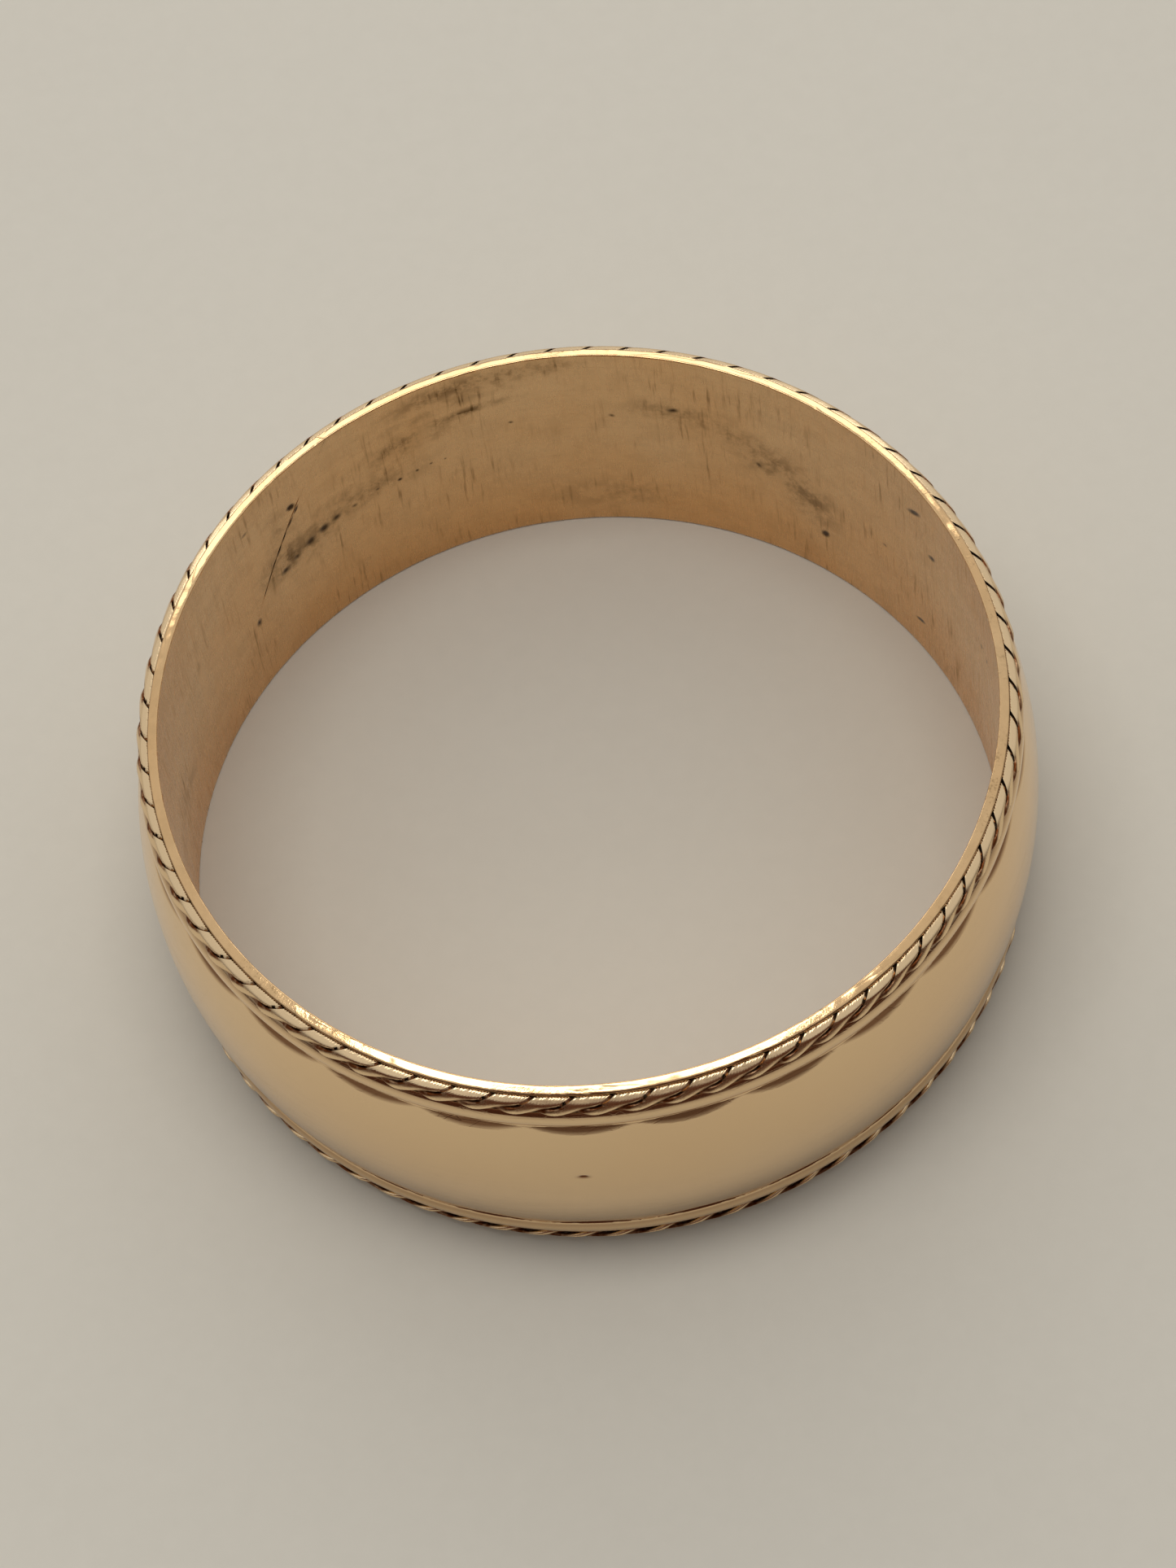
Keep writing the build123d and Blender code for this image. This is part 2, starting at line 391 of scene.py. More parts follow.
def filed_rubbed_gold():
    """9 carat gold, filed and rubbed: satin, scratched both ways, tarnished in patches, with dirty pits; a
    dark band of reflection along its top at the back and a warm glow towards its bottom are painted in, and
    shade is painted on its outer wall.
    """
    material, tree, shader = new_metal("gold 9 carat, filed and rubbed", "#E9C693", 0.27)
    places = add(tree, "TexCoord", {}, {}).outputs["Object"]

    # Short scratches across the width: a noise that is fine round the ring and long up and down
    fine = add(tree, "Mapping", {}, {"Vector": places, "Scale": (per_metre(0.1),) * 2 + (per_metre(1.3),)})
    across = add(tree, "TexNoise", {}, {"Vector": fine, "Scale": 1, "Detail": 3, "Roughness": 0.6})
    where = add(tree, "TexNoise", {}, {"Vector": places, "Scale": per_metre(2.2), "Detail": 2})
    where = add(tree, "MapRange", {}, {"Value": where, "From Min": 0.42, "From Max": 0.62})
    across_here = add(tree, "Math", {"operation": "MULTIPLY"}, {0: across, 1: where})
    round_it = hairlines(tree, places, 7, 0.16, (0.06, -0.03, 0), 0.03)
    height = add(tree, "Math", {"operation": "MULTIPLY_ADD"}, {0: round_it, 1: -0.35, 2: across_here})

    # Tarnish: the listed patches, broken into clouds and specks, and a trace of it everywhere. Three of the
    # patches are painted reflection of a dark band along the top at the back.
    cloud = add(
        tree, "TexNoise", {}, {"Vector": places, "Scale": per_metre(0.55), "Detail": 8, "Roughness": 0.72}
    )
    specks = add(tree, "MapRange", {}, {"Value": cloud, "From Min": 0.44, "From Max": 0.58})
    patches = marked(tree, places, bore_tarnish_and_reflection, 1.8)
    film = add(tree, "Math", {"operation": "MULTIPLY"}, {0: patches, 1: specks})
    film = add(tree, "Math", {"operation": "MULTIPLY_ADD"}, {0: patches, 1: 0.45, 2: film})
    strokes = add(tree, "MapRange", {}, {"Value": across, "From Min": 0.56, "From Max": 0.72, "To Max": 0.5})
    strokes = add(tree, "Math", {"operation": "MULTIPLY"}, {0: strokes, 1: where})
    film = add(tree, "Math", {"operation": "ADD"}, {0: strokes, 1: film})
    film = add(tree, "Math", {"operation": "MULTIPLY_ADD", "use_clamp": True}, {0: specks, 1: 0.09, 2: film})
    # Warmer and more orange towards the bottom edge: a painted reflection of the gold's glow near the floor,
    # laid over a random warm tone
    warm = add(tree, "TexNoise", {}, {"Vector": places, "Scale": per_metre(3.5), "Detail": 2})
    level = add(tree, "SeparateXYZ", {}, {0: places}).outputs["Z"]
    lower = add(tree, "MapRange", {}, {"Value": level, "From Min": -0.2 * MM, "From Max": -half_width * MM})
    warm_tone_and_low_glow = add(tree, "Math", {"operation": "MULTIPLY_ADD", "use_clamp": True}, {0: lower, 1: 0.6, 2: warm})
    bare = add(
        tree, "Mix", {"data_type": "RGBA"},
        {MIX_FACTOR: warm_tone_and_low_glow, MIX_A: colour("#EDCDA0"), MIX_B: colour("#E6B67C")},
    )
    filmed = add(
        tree, "Mix", {"data_type": "RGBA"},
        {MIX_FACTOR: film, MIX_A: bare.outputs[2], MIX_B: colour("#6E5229")},
    )
    pits = marked(tree, places, bore_pits, 1.25)
    pits = add(tree, "MapRange", {}, {"Value": pits, "From Min": 0.05, "From Max": 0.5})
    dirty = add(
        tree, "Mix", {"data_type": "RGBA"},
        {MIX_FACTOR: pits, MIX_A: filmed.outputs[2], MIX_B: colour("#4A3418")},
    )
    # The mesh's attribute paints shade on the sleeve's outer wall, behind the lip
    shade_behind_lip = add(tree, "Attribute", {"attribute_name": "dirt_and_shade"}, {}).outputs["Fac"]
    with_painted_shade = add(
        tree, "Mix", {"data_type": "RGBA"},
        {MIX_FACTOR: shade_behind_lip, MIX_A: dirty.outputs[2], MIX_B: colour("#4E2812")},
    )
    tree.links.new(with_painted_shade.outputs[2], shader.inputs["Base Color"])

    rough = add(
        tree, "MapRange", {},
        {"Value": across, "From Min": 0.3, "From Max": 0.7, "To Min": 0.2, "To Max": 0.34},
    )
    rough = add(tree, "Math", {"operation": "MULTIPLY_ADD"}, {0: film, 1: 0.2, 2: rough})
    lip = add(tree, "Attribute", {"attribute_name": "rubbed"}, {}).outputs["Fac"]
    rough = add(tree, "Mix", {"data_type": "FLOAT"}, {0: lip, 2: rough, 3: 0.13})
    tree.links.new(rough.outputs[0], shader.inputs["Roughness"])
    bump = add(tree, "Bump", {}, {"Height": height, "Strength": 0.45, "Distance": 0.014 * MM})
    tree.links.new(bump.outputs[0], shader.inputs["Normal"])
    return material


sleeve_gold = filed_rubbed_gold()
print("made", sleeve_gold.name, "with", len(sleeve_gold.node_tree.nodes), "nodes")

# %% [markdown]
# ### Twisted wire and hard solder
# The ropes are drawn wire of the same gold. Their tops are rubbed bright, while dirt and old polish have
# settled between the wires and turned red-brown there, and the same red-brown paints the shade down in the
# lay and in the groove by the lip. The mesh says how deep each point lies in the rope with an attribute, so
# the dirt and the painted shade follow the shape and not a pattern. Solder is a little paler and greener,
# because it holds more silver, and it cools with a fine orange-peel skin and small pinholes. The solder
# under the ropes is coloured dark instead, as painted shade.

# %% Worn rope wire and hard solder


def worn_rope_wire():
    """Drawn 9 carat wire, twisted, rolled and worn: bright where it is rubbed, and red-brown in its lay with
    dirt and painted shade.
    """
    material, tree, shader = new_metal("gold 9 carat, twisted wire", "#EBC892", 0.2)
    places = add(tree, "TexCoord", {}, {}).outputs["Object"]
    speckle = add(tree, "TexNoise", {}, {"Vector": places, "Scale": per_metre(0.12), "Detail": 3})
    dirt_and_shade_mask = add(tree, "Attribute", {"attribute_name": "dirt_and_shade"}, {}).outputs["Fac"]
    uneven = add(
        tree, "MapRange", {},
        {"Value": speckle, "From Min": 0.3, "From Max": 0.7, "To Min": 0.7, "To Max": 1.2},
    )
    # Red-brown where the mesh's attribute is high: dirt and old polish in the lay, plus painted shade that is
    # darkest deep between the wires and in the groove by the lip
    dirt_and_shade_here = add(tree, "Math", {"operation": "MULTIPLY", "use_clamp": True}, {0: dirt_and_shade_mask, 1: uneven})
    toned = add(
        tree, "Mix", {"data_type": "RGBA"},
        {MIX_FACTOR: dirt_and_shade_here, MIX_A: colour("#EED0A5"), MIX_B: colour("#6A3A1C")},
    )
    tree.links.new(toned.outputs[2], shader.inputs["Base Color"])
    rough = add(tree, "Math", {"operation": "MULTIPLY_ADD"}, {0: dirt_and_shade_here, 1: 0.3, 2: 0.2})
    tree.links.new(rough.outputs[0], shader.inputs["Roughness"])
    bump = add(tree, "Bump", {}, {"Height": speckle, "Strength": 0.2, "Distance": 0.01 * MM})
    tree.links.new(bump.outputs[0], shader.inputs["Normal"])
    return material


def cast_hard_solder(name, base_hex):
    """Hard solder as it cooled: paler than the gold, with an orange-peel skin, pinholes and some dirt."""
    material, tree, shader = new_metal(name, base_hex, 0.34)
    places = add(tree, "TexCoord", {}, {}).outputs["Object"]
    skin = add(tree, "TexNoise", {}, {"Vector": places, "Scale": per_metre(0.08), "Detail": 4})
    holes = add(tree, "TexVoronoi", {}, {"Vector": places, "Scale": per_metre(0.1)})
    holes = add(
        tree, "MapRange", {},
        {"Value": holes, "From Min": 0.15, "From Max": 0.3, "To Min": 1, "To Max": 0},
    )
    toned = add(
        tree, "Mix", {"data_type": "RGBA"},
        {MIX_FACTOR: holes, MIX_A: colour(base_hex), MIX_B: colour("#50351A")},
    )
    tree.links.new(toned.outputs[2], shader.inputs["Base Color"])
    height = add(tree, "Math", {"operation": "MULTIPLY_ADD"}, {0: holes, 1: -1, 2: skin})
    bump = add(tree, "Bump", {}, {"Height": height, "Strength": 0.5, "Distance": 0.012 * MM})
    tree.links.new(bump.outputs[0], shader.inputs["Normal"])
    return material


rope_gold = worn_rope_wire()
joint_solder = cast_hard_solder("gold solder, hard, in a joint", "#DFBE8A")
# The solder under the ropes gets a dark brown as painted shade, since it shows only deep in their lay
shaded_bed_solder = cast_hard_solder("gold solder, hard, under a rope, in painted shade", "#8A6238")
print("made", rope_gold.name, "and", joint_solder.name)

# %% [markdown]
# ## The sleeve
# The sleeve is a flat strip bent round until its ends met, so it has one joint, cut on a slant. Its section
# is a thin rectangle with eased corners. Wear has rounded the lips and made them fall away outwards, which
# is why a lip flashes where a lamp stands above it. Sliding every height of the spun sleeve round the finger
# by the lean of the joint slants both ends at once and leaves the round surfaces as they were. The joint's
# solder was filed together with the bore, so it has the sleeve's own surface, and shows only where it has
# sunk into a thin crack.

# %% Building the sleeve
joint_azimuth = 135.5
joint_slant = 35.0
joint_gap = 0.03
lip_slope = 17.0
lip_inner_ease = 0.05
lip_outer_ease = 0.02
lip_fall = (sleeve_radius - bore_radius) * math.tan(math.radians(lip_slope))
bore_rows, outer_rows, lip_rows = 62, 22, 4
sleeve_steps, sleeve_sectors = 840, 14
lip_worn_band = 0.2
mark_reach = 1.6
crack_low, crack_high = (-0.5, 0.2), (1.8, 2.05)


def sleeve_outline(bm, sink):
    """The sleeve's section, sunk below its surface by a little for the solder in its joint."""
    inner, outer = bore_radius + sink, sleeve_radius - sink
    high, low = half_width - sink, half_width - lip_fall - sink
    edges = draw_outline(bm, [(inner, high), (outer, low), (outer, -low), (inner, -high)])
    top_inner, bottom_inner = edges[0].verts[0], edges[3].verts[0]
    top_outer, bottom_outer = edges[0].verts[1], edges[2].verts[0]
    ease_corners(bm, [top_inner, bottom_inner], lip_inner_ease, 5)
    ease_corners(bm, [top_outer, bottom_outer], lip_outer_ease, 2)
    slope = (sleeve_radius - bore_radius) / 2
    for edge in [edge for edge in bm.edges if abs(edge.verts[0].co.x - edge.verts[1].co.x) > slope]:
        divide(bm, edge, lip_rows)
    tall = [edge for edge in bm.edges if abs(edge.verts[0].co.z - edge.verts[1].co.z) > half_width]
    bore_edge, outer_edge = sorted(tall, key=lambda edge: edge.verts[0].co.x)
    divide(bm, bore_edge, bore_rows)
    divide(bm, outer_edge, outer_rows)


def slant(bm):
    """Slides each height round the finger so that the ends lean as the joint does."""
    lean = math.tan(math.radians(joint_slant))
    for vert in bm.verts:
        turn = math.asin(-vert.co.z * lean / vert.co.xy.length)
        vert.co = Matrix.Rotation(turn, 3, "Z") @ vert.co


def wear_lips(bm):
    """Makes the lips uneven, by a few hundredths of a millimetre, and only ever lower."""
    for vert in bm.verts:
        if abs(vert.co.z) > half_width - lip_worn_band:
            broad = noise.noise(vert.co * 0.35)
            short = noise.noise(vert.co * 2.2 + Vector((5, 0, 0)))
            tiny = noise.noise(vert.co * 6.5 + Vector((0, 9, 0)))
            worn = 0.012 + 0.01 * broad + 0.009 * short + 0.004 * tiny
            vert.co.z -= math.copysign(max(worn, 0), vert.co.z)


def note_wear_and_shade(bm, rubbed, dirt_and_shade):
    """Notes where the sleeve is rubbed bright, on its lips, and where shade is painted, on its outer wall
    behind them.
    """
    for vert in bm.verts:
        radius = vert.co.xy.length
        on_lip = abs(vert.co.z) > half_width - lip_fall - 0.06 and radius > bore_radius + 0.02
        vert[rubbed] = float(on_lip)
        # Painted shade on the outer wall, in the gap between the lip and the rope
        vert[dirt_and_shade] = 0.5 * float(radius > sleeve_radius - 0.01)


def press_marks(bm, marks):
    """Presses each mark into the bore as a smooth dimple of its own size and depth."""
    bore = [vert for vert in bm.verts if abs(vert.co.xy.length - bore_radius) < 0.001]
    for azimuth, height, half_length, half_width_mm, lean, depth, darkness in marks:
        centre = on_bore(azimuth, height)
        to_mark = Matrix.Rotation(math.radians(-azimuth), 3, "Z")
        unlean = Matrix.Rotation(math.radians(-lean), 3, "X")
        reach = mark_reach * max(half_length, half_width_mm)
        for vert in bore:
            if abs(vert.co.z - height) < reach and (vert.co - centre).length < reach:
                offset = unlean @ (to_mark @ (vert.co - centre))
                far = (offset.y / half_length) ** 2 + (offset.z / half_width_mm) ** 2
                set_radius(vert, vert.co.xy.length + depth * math.exp(-2 * far))


half_gap = math.degrees(joint_gap / math.cos(math.radians(joint_slant)) / bore_radius) / 2
bm = bmesh.new()
rubbed = bm.verts.layers.float.new("rubbed")
dirt_and_shade = bm.verts.layers.float.new("dirt_and_shade")
sleeve_outline(bm, 0)
spin_outline(bm, joint_azimuth + half_gap, 360 - 2 * half_gap, sleeve_steps, sleeve_sectors)
slant(bm)
note_wear_and_shade(bm, rubbed, dirt_and_shade)
wear_lips(bm)
press_marks(bm, bore_pits)
finish_piece(bm, "sleeve", "base_sleeve", sleeve_gold)

# %% The solder in the sleeve's joint
bm = bmesh.new()
sleeve_outline(bm, 0.001)
spin_outline(bm, joint_azimuth - half_gap, 2 * half_gap, 3, 1)
slant(bm)
for vert in bm.verts:
    opened = ramp(vert.co.z, *crack_low) * (1 - ramp(vert.co.z, *crack_high))
    if vert.co.xy.length < bore_radius + 0.05:
        sunk = 0.02 + 0.01 * noise.noise(vert.co * 3)
        set_radius(vert, vert.co.xy.length + opened * sunk)
finish_piece(bm, "sleeve_joint_solder", "sleeve_seam_solder", sleeve_gold)

# %% [markdown]
# ## The dome band
# The dome band has a flat back, a shoulder that the rope rests on, a half-round ridge at each side and the
# dome between the ridges. Along the inner foot of each ridge, a graver cut a chain of short straight facets,
# steep by the ridge and sloping on the dome side. A straight cut on a round band is deepest in its middle
# and runs out at both ends, so the chain pinches where two cuts meet. Here the section is spun with many
# fine rows where the cuts lie, and every point that stands above a cut is pressed down to it.

# %% Sizes of the dome band's details
ridge_width = 0.49
ridge_height = 0.035
ridge_rise = 0.1
ridge_bow = 0.085
shoulder_thickness = 0.235
dome_foot_radius = dome_inner_radius + shoulder_thickness
foot_height = shoulder_height - ridge_width
cut_count = 26
cut_azimuth = -0.7
cut_depth = 0.062
cut_ridge_side = 0.04
cut_dome_side = 0.108
lower_cut_share = 0.85
cut_set_in = 0.05
cut_height = foot_height - cut_set_in
fine_band = 0.26
fine_rows_to = cut_height - fine_band
dome_rise = dome_radius - dome_foot_radius
dome_arc = (foot_height**2 + dome_rise**2) / (2 * dome_rise)
dome_joint_azimuth = 90.0
dome_joint_gap = 0.05
ridge_rows, fine_rows, dome_rows = 12, 24, 44
dome_steps, dome_sectors = 780, 13
nick_reach = 0.35

# %% Building the dome band


def dome_surface(height):
    """The dome's radius at a height."""
    return dome_radius - dome_arc + math.sqrt(dome_arc**2 - height**2)


def dome_outline(bm, sink):
    """The dome band's section: its back, shoulders and ridges, and the dome in fine and coarse rows."""
    ridge_start = dome_foot_radius + ridge_height - ridge_rise
    corners = [
        (dome_inner_radius, shoulder_height),
        (ridge_start, shoulder_height),
        (dome_foot_radius, foot_height),
        (dome_surface(fine_rows_to), fine_rows_to),
    ]
    mirrored = [(radius, -height) for radius, height in reversed(corners)]
    edges = draw_outline(bm, [(radius - sink, height) for radius, height in corners + mirrored])
    ridge, fine, dome, low_fine, low_ridge = edges[1:6]
    for edge in (ridge, low_ridge):
        bow(bm, edge, ridge_rows, ridge_bow, (1, 0, 0))
    for edge, pieces in ((fine, fine_rows), (dome, dome_rows), (low_fine, fine_rows)):
        for vert in divide(bm, edge, pieces):
            vert.co.x = dome_surface(vert.co.z) - sink


def press_to_cuts(bm, dirt_and_shade):
    """Presses every point that stands above a graver cut down to the cut, and notes how deep it was cut."""
    pitch = 360 / cut_count
    for vert in bm.verts:
        radius = vert.co.xy.length
        height = abs(vert.co.z)
        if radius < dome_foot_radius - cut_depth or height > shoulder_height - 0.1:
            continue
        azimuth = azimuth_of(vert.co) - cut_azimuth
        off = math.radians(azimuth - pitch * round(azimuth / pitch))
        beside = height - cut_height
        slope = cut_depth / (cut_ridge_side if beside > 0 else cut_dome_side)
        depth = cut_depth if vert.co.z > 0 else cut_depth * lower_cut_share
        floor = (dome_foot_radius - depth + slope * abs(beside)) / math.cos(off)
        if floor < radius:
            set_radius(vert, floor)
            # Painted shade in the cut, darker the deeper it is cut
            vert[dirt_and_shade] = 0.85 * min(2 * (radius - floor) / cut_depth, 1)


def shade_ridge_flanks(bm, dirt_and_shade):
    """Paints shade on both flanks of each ridge, darkest towards their feet, and leaves its crest bright."""
    crest_height = shoulder_height - ridge_width / 2
    for vert in bm.verts:
        off_crest = abs(abs(vert.co.z) - crest_height) / (ridge_width / 2)
        if off_crest < 1 and vert.co.xy.length > dome_inner_radius + 0.01:
            vert[dirt_and_shade] = max(vert[dirt_and_shade], 0.5 * ramp(off_crest, 0.15, 0.9))


def settle(bm):
    """Leaves the dome as uneven as a hand-worked one: dips of a few microns, a few millimetres across."""
    for vert in bm.verts:
        if vert.co.xy.length > dome_foot_radius - 0.1:
            dip = 0.003 + 0.004 * noise.noise(vert.co * 0.28) + 0.0015 * noise.noise(vert.co * 0.7)
            set_radius(vert, vert.co.xy.length - max(dip, 0))


def press_nick(bm, azimuth, height, half_length, half_height, depth, dirt_and_shade):
    """Dents the dome with one nick: the mesh there is divided finely and pressed in."""
    turn = math.radians(azimuth)
    centre = Vector((math.cos(turn), math.sin(turn), 0)) * dome_surface(height) + Vector((0, 0, height))
    for _ in range(2):
        near = [
            edge for edge in bm.edges if all((vert.co - centre).length < nick_reach for vert in edge.verts)
        ]
        bmesh.ops.subdivide_edges(bm, edges=near, cuts=1, use_grid_fill=True)
    unturn = Matrix.Rotation(-turn, 3, "Z")
    for vert in bm.verts:
        if (vert.co - centre).length < nick_reach:
            offset = unturn @ (vert.co - centre)
            far = (offset.y / half_length) ** 2 + (offset.z / half_height) ** 2
            set_radius(vert, vert.co.xy.length - depth * math.exp(-2 * far))
            # Painted shade in the nick, darkest in its middle
            vert[dirt_and_shade] = min(1.5 * math.exp(-2.5 * far), 1)


half_gap = math.degrees(dome_joint_gap / dome_radius) / 2
bm = bmesh.new()
dirt_and_shade = bm.verts.layers.float.new("dirt_and_shade")
dome_outline(bm, 0)
spin_outline(bm, dome_joint_azimuth + half_gap, 360 - 2 * half_gap, dome_steps, dome_sectors)
settle(bm)
press_to_cuts(bm, dirt_and_shade)
shade_ridge_flanks(bm, dirt_and_shade)
press_nick(bm, -97.9, 0.59, 0.17, 0.08, 0.035, dirt_and_shade)
finish_piece(bm, "dome_band_buffed", "dome_band", dome_gold)

# %% The solder in the dome band's joint
bm = bmesh.new()
dirt_and_shade = bm.verts.layers.float.new("dirt_and_shade")
dome_outline(bm, 0.002)
spin_outline(bm, dome_joint_azimuth - half_gap, 2 * half_gap, 3, 1)
settle(bm)
press_to_cuts(bm, dirt_and_shade)
finish_piece(bm, "dome_joint_solder", "dome_seam_solder", joint_solder)

# %% [markdown]
# ## The ropes
# A rope is two wires twisted together, closed into a hoop and rolled into the channel beside the ridge. Each
# wire is round. It is first spun as a plain hoop beside the rope's own middle line, and then every point is
# turned about that line, further and further round the ring: a whole number of turns brings the end back to
# the start. The channel has pressed the rope nearly square, its inner side is raised towards the lip, wear
# has cut two flats along its top, and rubbing has closed the gap between the wires on the lip's side. The gap
# stays open on the outer side, which is where the dark notches of a worn rope are.

# %% Building the four wires
rope_turns = 35
rope_azimuth = -1.7
steps_per_turn = 26
wire_points = 56
wire_clearance = 0.002
# Powers of the rounded square that fills the lower outer and the upper inner corner
corner_fill = 4
top_fill = 9
# Each flat: which way it faces, in degrees from outward, and its distance from the middle in rope radii
worn_flats = ((30, 0.56), (66, 0.86))
lean_in = 0.6
flat_keeps = 0.1
# Between these angles from outward, the groove against the lip is painted dark as shade
groove_from, groove_to = 150, 170
burnish_from, burnish_to = 46, 92
burnish = 0.95
# How deep below the rope's round the rubbing stops closing the gap, and where the dirt and painted shade
# begin and are full
burnish_fade = (0.95, 0.995)
dirt_and_shade_depths = (0.08, 0.42)


def wire_outline(bm):
    """One wire's round section, beside the rope's middle line and a hair clear of its twin."""
    wire_radius = rope_radius / 2 - wire_clearance
    bmesh.ops.create_circle(bm, cap_ends=False, segments=wire_points, radius=wire_radius)
    bmesh.ops.translate(bm, vec=(rope_radius / 2, 0, 0), verts=bm.verts)
    bmesh.ops.rotate(bm, cent=ORIGIN, matrix=Matrix.Rotation(math.radians(90), 3, "X"), verts=bm.verts)
    bmesh.ops.translate(bm, vec=(rope_centre_radius, 0, 0), verts=bm.verts)


def twist_and_roll(bm, dirt_and_shade, first_turn):
    """Turns the hoop of wire about the rope's middle line, presses it into its channel and wears its top."""
    for vert in bm.verts:
        azimuth = azimuth_of(vert.co) - rope_azimuth
        section = Matrix.Rotation(math.radians(rope_turns * azimuth + first_turn), 2)
        place = section @ Vector((vert.co.xy.length - rope_centre_radius, vert.co.z))
        depth = 1 - place.length / rope_radius
        angle = math.atan2(place.y, place.x)
        closed = burnish * ramp(math.degrees(angle), burnish_from, burnish_to)
        closed *= 1 - ramp(depth, *burnish_fade)
        shallower = depth * (1 - closed)
        # Dirt and painted shade grow with the depth in the rope, and the groove by the lip is painted shade
        groove_shade = ramp(math.degrees(angle), groove_from, groove_to)
        vert[dirt_and_shade] = max(ramp(shallower, *dirt_and_shade_depths), groove_shade)
        place *= (1 - shallower) / max(1 - depth, 0.001)
        if place.x * place.y < 0:
            power = top_fill if place.y > 0 else corner_fill
            corner = abs(math.cos(angle)) ** power + abs(math.sin(angle)) ** power
            place *= corner ** (-1 / power)
        if place.x < 0 < place.y:
            place.y -= lean_in * place.x
        for side, worn_to in worn_flats:
            way = Vector((math.cos(math.radians(side)), math.sin(math.radians(side))))
            proud = max(place.dot(way) - worn_to * rope_radius, 0)
            place -= (1 - flat_keeps) * proud * way
        set_radius(vert, rope_centre_radius + place.x)
        vert.co.z = place.y


def place_on_side(bm, side):
    """Moves a rope made about the XY plane to its rim. The lower rim's is the upper one turned over."""
    bmesh.ops.translate(bm, vec=(0, 0, rope_height), verts=bm.verts)
    if side < 0:
        bmesh.ops.rotate(bm, cent=ORIGIN, matrix=Matrix.Rotation(math.pi, 3, "X"), verts=bm.verts)


for rim, side in (("upper", 1), ("lower", -1)):
    for strand, first_turn in (("a", 0), ("b", 180)):
        bm = bmesh.new()
        dirt_and_shade = bm.verts.layers.float.new("dirt_and_shade")
        wire_outline(bm)
        spin_outline(bm, 0, 360, rope_turns * steps_per_turn, rope_turns)
        twist_and_roll(bm, dirt_and_shade, first_turn)
        place_on_side(bm, side)
        finish_piece(bm, f"{rim}_rope_wire_{strand}", f"{rim}_rope_strand_{strand}", rope_gold)

# %% [markdown]
# ### The solder under the ropes
# Solder was run in under each rope, and it fills the corner between the sleeve and the dome's shoulder. Only
# its top shows, down in the lay of the rope, and it is coloured dark as painted shade. Its section is the
# corner with the rope's round taken out.

# %% Building the solder beds
bed_edge = 0.03
bed_rows, bed_bow = 8, 0.07
bed_steps, bed_sectors = 240, 6
for rim, side in (("upper", 1), ("lower", -1)):
    bed_low, bed_high = box_mm(f"{rim}_rope_solder_bed")
    outer = bed_high.x
    root, crest = sorted((abs(bed_low.z), abs(bed_high.z)))
    bm = bmesh.new()
    corners = [(sleeve_radius, root), (outer, root), (outer, root + bed_edge), (sleeve_radius, crest)]
    edges = draw_outline(bm, [(radius, side * height) for radius, height in corners])
    bow(bm, edges[2], bed_rows, bed_bow, (-1, 0, -side))
    spin_outline(bm, 0, 360, bed_steps, bed_sectors)
    finish_piece(bm, f"{rim}_rope_bed", f"{rim}_rope_solder_bed", shaded_bed_solder)

# %% [markdown]
# ### The solder film
# A film of solder, two hundredths of a millimetre thick, joins the dome band to the sleeve. It is closed in
# on every side, so the CAD node stays as it is and only gets the solder for its material.

# %% The film keeps its CAD mesh
film = frame["nodes"]["dome_solder_film"]
film.data.materials.clear()
film.data.materials.append(joint_solder)
print("film:", len(film.data.polygons), "faces")

# %% [markdown]
# ## The studio
# A ring is a mirror, so the studio is most of its picture. It lies on a plain pale sheet under two soft
# lamps, and the light from all round is stronger high up behind the ring than low in front of it. The lamp
# overhead is a rectangle of limited size: the worn lip flashes only where it faces that rectangle. The lamp
# behind lights the lip and the bore at the back. A dark flag curves round the front, highest in the middle.
# The camera doesn't see it, but the graver cuts and the gaps of the rope reflect it, and that gives them
# their dark sides.

# %% The floor


def matte_paper():
    """Uncoated cream paper: nearly fully rough, with a faint fibre pattern."""
    material = bpy.data.materials.new("paper, matte, cream")
    material.use_nodes = True
    tree = material.node_tree
    shader = tree.nodes["Principled BSDF"]
    shader.inputs["Roughness"].default_value = 0.9
    shader.inputs["Specular IOR Level"].default_value = 0.2
    places = add(tree, "TexCoord", {}, {}).outputs["Object"]
    fibre = add(tree, "TexNoise", {}, {"Vector": places, "Scale": per_metre(0.4), "Detail": 4})
    toned = add(
        tree, "Mix", {"data_type": "RGBA"},
        {MIX_FACTOR: fibre, MIX_A: colour("#CAC4B8"), MIX_B: colour("#CEC8BC")},
    )
    tree.links.new(toned.outputs[2], shader.inputs["Base Color"])
    bump = add(tree, "Bump", {}, {"Height": fibre, "Strength": 0.2, "Distance": 0.02 * MM})
    tree.links.new(bump.outputs[0], shader.inputs["Normal"])
    return material


def stage_plate(name, size_x, size_y, place, material):
    """A flat plate of the studio, in millimetres, with its place in its mesh."""
    bm = bmesh.new()
    bmesh.ops.create_grid(bm, x_segments=1, y_segments=1, size=0.5)
    bmesh.ops.scale(bm, vec=(size_x * MM, size_y * MM, 1), verts=bm.verts)
    bmesh.ops.translate(bm, vec=Vector(place) * MM, verts=bm.verts)
    mesh = bpy.data.meshes.new(name)
    bm.to_mesh(mesh)
    bm.free()
    plate = bpy.data.objects.new(name, mesh)
    bpy.context.scene.collection.objects.link(plate)
    plate.data.materials.append(material)


floor_size = 900
stage_plate("floor", floor_size, floor_size, (0, 0, -half_width), matte_paper())
print("floor at", -half_width, "mm")

# %% The flag in front, seen only in reflections
flag_radius = 27
flag_foot, flag_low_top, flag_high_top = 1.2, 3, 46
flag_start, flag_sweep, flag_steps = -165, 150, 50
flag_middle = flag_start + flag_sweep / 2
flag_high_to, flag_low_from = 25, 60


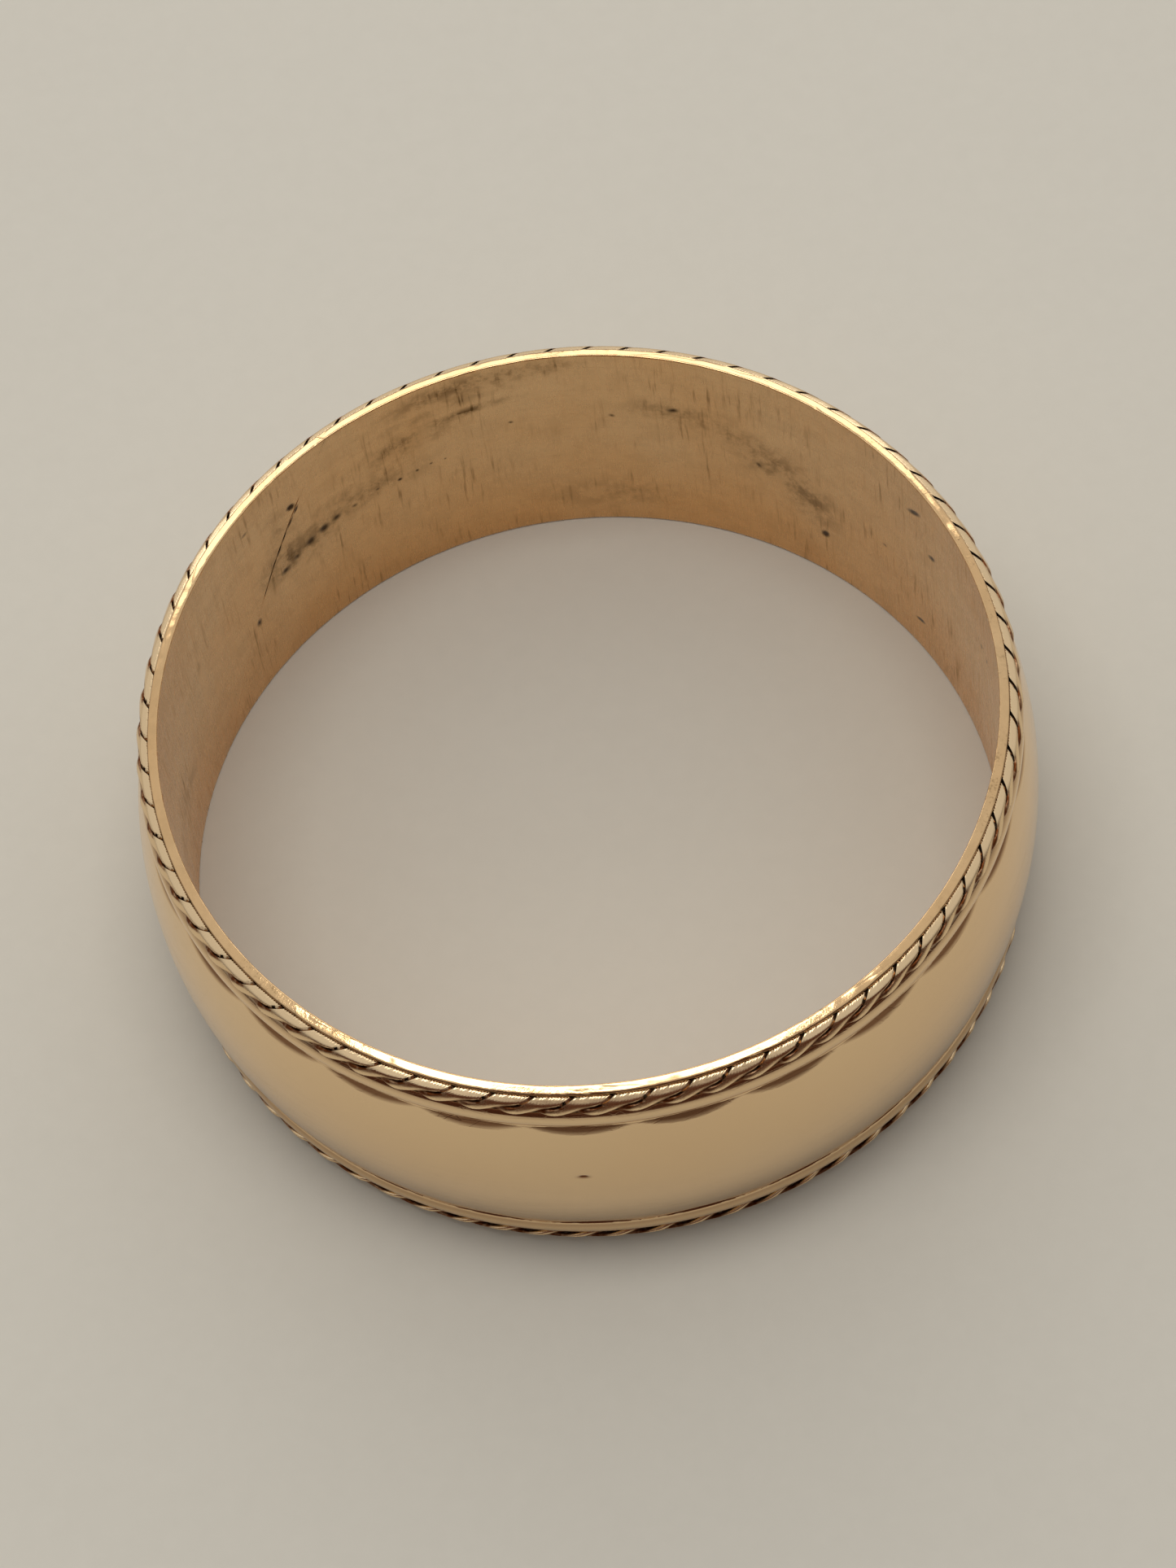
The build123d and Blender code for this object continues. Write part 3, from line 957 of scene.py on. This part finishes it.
def dark_cotton():
    """Dark brown cotton cloth: fully rough, so it only darkens what the gold reflects."""
    material = bpy.data.materials.new("cotton flag, dark brown")
    material.use_nodes = True
    shader = material.node_tree.nodes["Principled BSDF"]
    shader.inputs["Base Color"].default_value = colour("#5A3424")
    shader.inputs["Roughness"].default_value = 1
    return material


bm = bmesh.new()
foot = bm.verts.new((flag_radius, 0, flag_foot))
head = bm.verts.new((flag_radius, 0, flag_low_top))
bm.edges.new((foot, head))
flag_edge = bm.verts[:] + bm.edges[:]
sweep = math.radians(flag_sweep)
bmesh.ops.spin(bm, geom=flag_edge, cent=ORIGIN, axis=FINGER_AXIS, angle=sweep, steps=flag_steps)
to_start = Matrix.Rotation(math.radians(flag_start), 3, "Z")
bmesh.ops.rotate(bm, cent=ORIGIN, matrix=to_start, verts=bm.verts)
for vert in bm.verts:
    if vert.co.z > (flag_foot + flag_low_top) / 2:
        aside = abs(azimuth_of(vert.co) - flag_middle)
        fall = min(max((aside - flag_high_to) / (flag_low_from - flag_high_to), 0), 1)
        vert.co.z += (flag_high_top - flag_low_top) * (1 - fall)
bmesh.ops.scale(bm, vec=(MM, MM, MM), verts=bm.verts)
flag_mesh = bpy.data.meshes.new("flag")
bm.to_mesh(flag_mesh)
bm.free()
flag = bpy.data.objects.new("flag", flag_mesh)
bpy.context.scene.collection.objects.link(flag)
flag.data.materials.append(dark_cotton())
flag.visible_camera = False
flag.visible_diffuse = False
flag.visible_shadow = False
print("flag of", flag_steps, "panels")

# %% The lamps


def softbox(name, centre, width, depth, energy):
    """A soft lamp tilted about X to face the ring, with its place and sizes in millimetres."""
    lamp = bpy.data.lights.new(name, "AREA")
    lamp.shape = "RECTANGLE"
    lamp.size = width * MM
    lamp.size_y = depth * MM
    lamp.energy = energy
    lamp.color = colour("#FFFEFB")[:3]
    stand = bpy.data.objects.new(name, lamp)
    stand.location = Vector(centre) * MM
    stand.rotation_euler = (-math.atan2(centre[1], centre[2]), 0, 0)
    bpy.context.scene.collection.objects.link(stand)
    print(name, "of", width, "by", depth, "mm")


softbox("overhead softbox", (-15, -2, 190), 137, 58, 0.115)
softbox("back softbox", (0, 176, 92), 230, 75, 0.085)

# %% [markdown]
# The world is the light from all round. Its brightness follows the angle to one bright direction, high up
# behind the ring. The camera itself sees a plain pale backdrop in its place.

# %% The light from all round
world = bpy.context.scene.world or bpy.data.worlds.new("studio")
bpy.context.scene.world = world
world.use_nodes = True
sky = world.node_tree
toward = add(sky, "TexCoord", {}, {}).outputs["Generated"]
bright_way = (0, 0.55, 0.83)  # up and back, nearly one long
facing = add(sky, "VectorMath", {"operation": "DOT_PRODUCT"}, {0: toward, 1: bright_way}).outputs["Value"]
climb = add(
    sky, "MapRange", {"interpolation_type": "SMOOTHSTEP"},
    {"Value": facing, "From Min": -0.1, "From Max": 0.75},
)
glow = add(
    sky, "Mix", {"data_type": "RGBA"},
    {MIX_FACTOR: climb, MIX_A: colour("#8B8988"), MIX_B: colour("#D3D3D2")},
)
seen = add(sky, "LightPath", {}, {}).outputs["Is Camera Ray"]
backdrop = add(
    sky, "Mix", {"data_type": "RGBA"},
    {MIX_FACTOR: seen, MIX_A: glow.outputs[2], MIX_B: colour("#C1BBAF")},
)
sky.links.new(backdrop.outputs[2], sky.nodes["Background"].inputs["Color"])
sky.nodes["Background"].inputs["Strength"].default_value = 1

# %% [markdown]
# ## The camera
# The camera looks down at sixty degrees from a short distance, a little rolled, so that the ring's long axis
# rises to the right. The lens is long enough for the ring to fill most of the picture.

# %% The camera
camera_distance = 123.1
camera_elevation = math.radians(60)
camera_roll = math.radians(-8.8)
camera_lens = 128
camera_clip = 0.005
camera_data = bpy.data.cameras.new("camera")
camera_data.lens = camera_lens
camera_data.clip_start = camera_clip
camera = bpy.data.objects.new("camera", camera_data)
outlook = Vector((0, -math.cos(camera_elevation), math.sin(camera_elevation)))
camera.location = outlook * camera_distance * MM
aim = outlook.to_track_quat("Z", "Y").to_matrix() @ Matrix.Rotation(camera_roll, 3, "Z")
camera.rotation_euler = aim.to_euler()
bpy.context.scene.collection.objects.link(camera)
bpy.context.scene.camera = camera
bpy.context.scene.view_settings.view_transform = "Standard"
print("camera at", [round(c / MM, 1) for c in camera.location], "mm")
